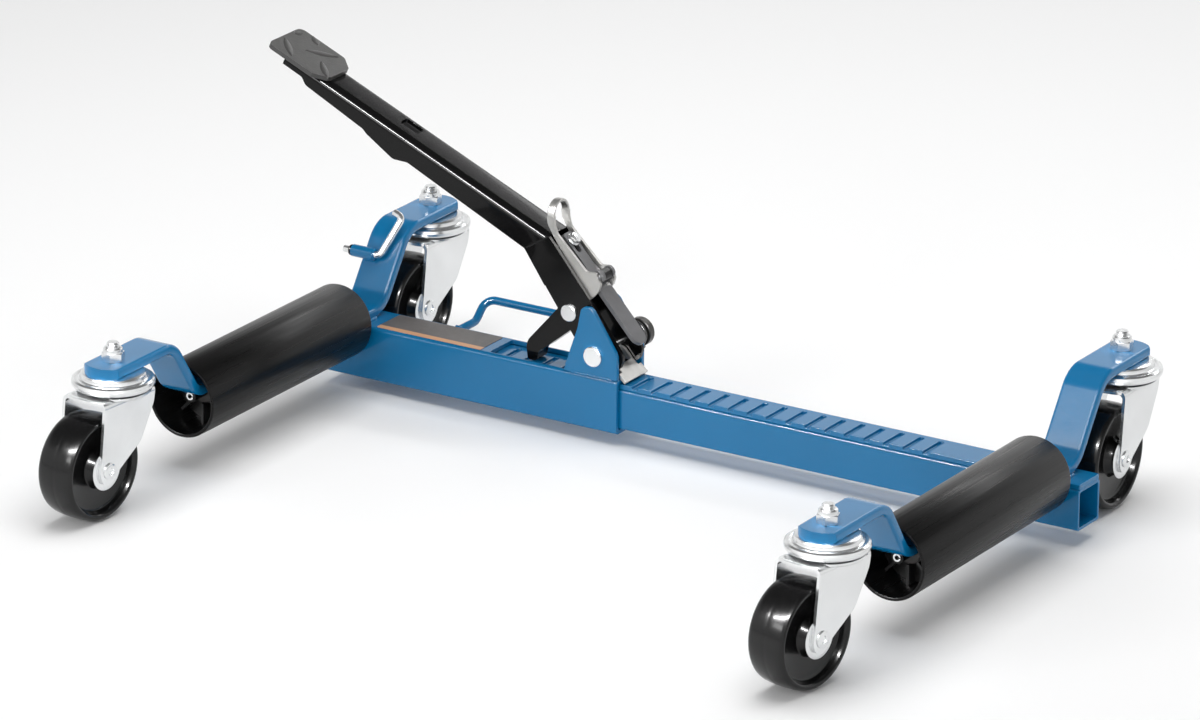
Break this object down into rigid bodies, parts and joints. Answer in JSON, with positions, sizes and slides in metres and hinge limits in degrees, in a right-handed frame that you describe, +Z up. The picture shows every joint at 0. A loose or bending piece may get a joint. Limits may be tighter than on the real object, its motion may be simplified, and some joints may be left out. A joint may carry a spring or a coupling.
{
  "type": "wheel dolly",
  "caption": "Low steel wheel dolly: a tyre is lifted between two free rollers when a foot pedal ratchets a telescoping beam closed, and it rolls on swivel casters.",
  "frame": {"origin": "centre of the bounding box, on the floor", "axes": "+X along the beam from the fixed end to the sliding end, +Y from the tyre side to the beam side, +Z up"},
  "size_m": [0.887, 0.6598, 0.332],
  "materials": {
    "blue_paint": "gloss powder coat",
    "black_paint": "gloss black paint",
    "grey_steel": "satin dark grey",
    "zinc": "bright zinc plate",
    "steel": "plain steel",
    "roller_plastic": "satin extruded plastic",
    "wheel_plastic": "gloss moulded plastic",
    "label": "blank label"
  },
  "bodies": {
    "frame": {"outer_tube": "blue_paint", "front_ear": "blue_paint", "rear_ear": "blue_paint", "front_left_bracket": "blue_paint", "rear_left_bracket": "blue_paint", "left_axle": "steel", "left_spring_pin": "zinc", "left_axle_washers": "zinc", "carry_handle": "blue_paint", "pin_holder": "blue_paint", "blank_label": "label", "pivot_pin": "zinc", "pivot_collar": "grey_steel", "return_spring": "black_paint", "left_king_bolts": "zinc", "left_nuts": "zinc", "race_fl": "zinc", "race_bl": "zinc"},
    "slider": {"inner_tube": "blue_paint", "rack_plate": "blue_paint", "front_right_bracket": "blue_paint", "rear_right_bracket": "blue_paint", "right_axle": "steel", "right_spring_pin": "zinc", "right_axle_washers": "zinc", "right_king_bolts": "zinc", "right_nuts": "zinc", "race_fr": "zinc", "race_br": "zinc"},
    "roller_l": {"roller_left": "roller_plastic", "roller_left_hubs": "roller_plastic"},
    "roller_r": {"roller_right": "roller_plastic", "roller_right_hubs": "roller_plastic"},
    "caster_fl": {"fork_fl": "zinc", "axle_fl": "zinc", "washers_fl": "zinc"},
    "wheelset_fl": {"wheel_fl": "wheel_plastic"},
    "caster_bl": {"fork_bl": "zinc", "axle_bl": "zinc", "washers_bl": "zinc"},
    "wheelset_bl": {"wheel_bl": "wheel_plastic"},
    "caster_fr": {"fork_fr": "zinc", "axle_fr": "zinc", "washers_fr": "zinc"},
    "wheelset_fr": {"wheel_fr": "wheel_plastic"},
    "caster_br": {"fork_br": "zinc", "axle_br": "zinc", "washers_br": "zinc"},
    "wheelset_br": {"wheel_br": "wheel_plastic"},
    "pedal": {"pedal_arm": "black_paint", "pedal_channel": "black_paint", "foot_pad": "grey_steel", "pawl_pin_bolt": "zinc", "guide_bolt": "zinc"},
    "drive": {"drive_pawl": "black_paint"},
    "holding": {"holding_pawl": "zinc"},
    "lock": {"lock_strap": "grey_steel", "cross_roller": "grey_steel"},
    "bail": {"release_bail": "zinc"},
    "pin": {"storage_pin": "zinc"}
  },
  "joints": [
    {"name": "beam_slide", "type": "slide", "parent": "frame", "child": "slider", "axis": [1, 0, 0], "range_m": [-0.33, 0.02]},
    {"name": "roller_l_spin", "type": "hinge", "parent": "frame", "child": "roller_l", "pos_m": [-0.3575, -0.00209, 0.069], "axis": [0, 1, 0], "continuous": true},
    {"name": "roller_r_spin", "type": "hinge", "parent": "slider", "child": "roller_r", "pos_m": [0.4045, -0.00209, 0.069], "axis": [0, 1, 0], "continuous": true},
    {"name": "swivel_fl", "type": "hinge", "parent": "frame", "child": "caster_fl", "pos_m": [-0.3575, -0.24209, 0.116], "axis": [0, 0, 1], "continuous": true},
    {"name": "wheel_fl_spin", "type": "hinge", "parent": "caster_fl", "child": "wheelset_fl", "pos_m": [-0.36098, -0.27893, 0.05], "axis": [0.9956, -0.0941, 0], "continuous": true},
    {"name": "swivel_bl", "type": "hinge", "parent": "frame", "child": "caster_bl", "pos_m": [-0.3575, 0.29091, 0.116], "axis": [0, 0, 1], "continuous": true},
    {"name": "wheel_bl_spin", "type": "hinge", "parent": "caster_bl", "child": "wheelset_bl", "pos_m": [-0.35911, 0.25394, 0.05], "axis": [0.999, -0.0436, 0], "continuous": true},
    {"name": "swivel_fr", "type": "hinge", "parent": "slider", "child": "caster_fr", "pos_m": [0.4045, -0.24209, 0.116], "axis": [0, 0, 1], "continuous": true},
    {"name": "wheel_fr_spin", "type": "hinge", "parent": "caster_fr", "child": "wheelset_fr", "pos_m": [0.39897, -0.27868, 0.05], "axis": [0.9888, -0.1495, 0], "continuous": true},
    {"name": "swivel_br", "type": "hinge", "parent": "slider", "child": "caster_br", "pos_m": [0.4045, 0.29091, 0.116], "axis": [0, 0, 1], "continuous": true},
    {"name": "wheel_br_spin", "type": "hinge", "parent": "caster_br", "child": "wheelset_br", "pos_m": [0.40579, 0.25393, 0.05], "axis": [0.9994, 0.0349, 0], "continuous": true},
    {"name": "pedal_pivot", "type": "hinge", "parent": "frame", "child": "pedal", "pos_m": [-0.0765, 0.16491, 0.085], "axis": [0, -1, 0], "range_deg": [0, 30], "stiffness_Nm_per_rad": 4, "springref_deg": -91.67},
    {"name": "drive_pawl_pivot", "type": "hinge", "parent": "pedal", "child": "drive", "pos_m": [-0.107, 0.16491, 0.121], "axis": [0, -1, 0], "range_deg": [-53, 0]},
    {"name": "holding_pawl_pivot", "type": "hinge", "parent": "frame", "child": "holding", "pos_m": [-0.0765, 0.16491, 0.085], "axis": [0, -1, 0], "range_deg": [0, 6]},
    {"name": "lock_slide", "type": "slide", "parent": "pedal", "child": "lock", "axis": [-0.6756, 0, 0.7373], "range_m": [0, 0.009]},
    {"name": "bail_pivot", "type": "hinge", "parent": "lock", "child": "bail", "pos_m": [-0.08132, 0.16491, 0.15823], "axis": [0, 1, 0], "range_deg": [0, 60]},
    {"name": "storage_pin_slide", "type": "slide", "parent": "frame", "child": "pin", "axis": [1, 0, 0], "range_m": [0, 0.04]}
  ],
  "couplings": [
    {"joint": "drive_pawl_pivot", "follows": "pedal_pivot", "ratio": -1.75}
  ]
}
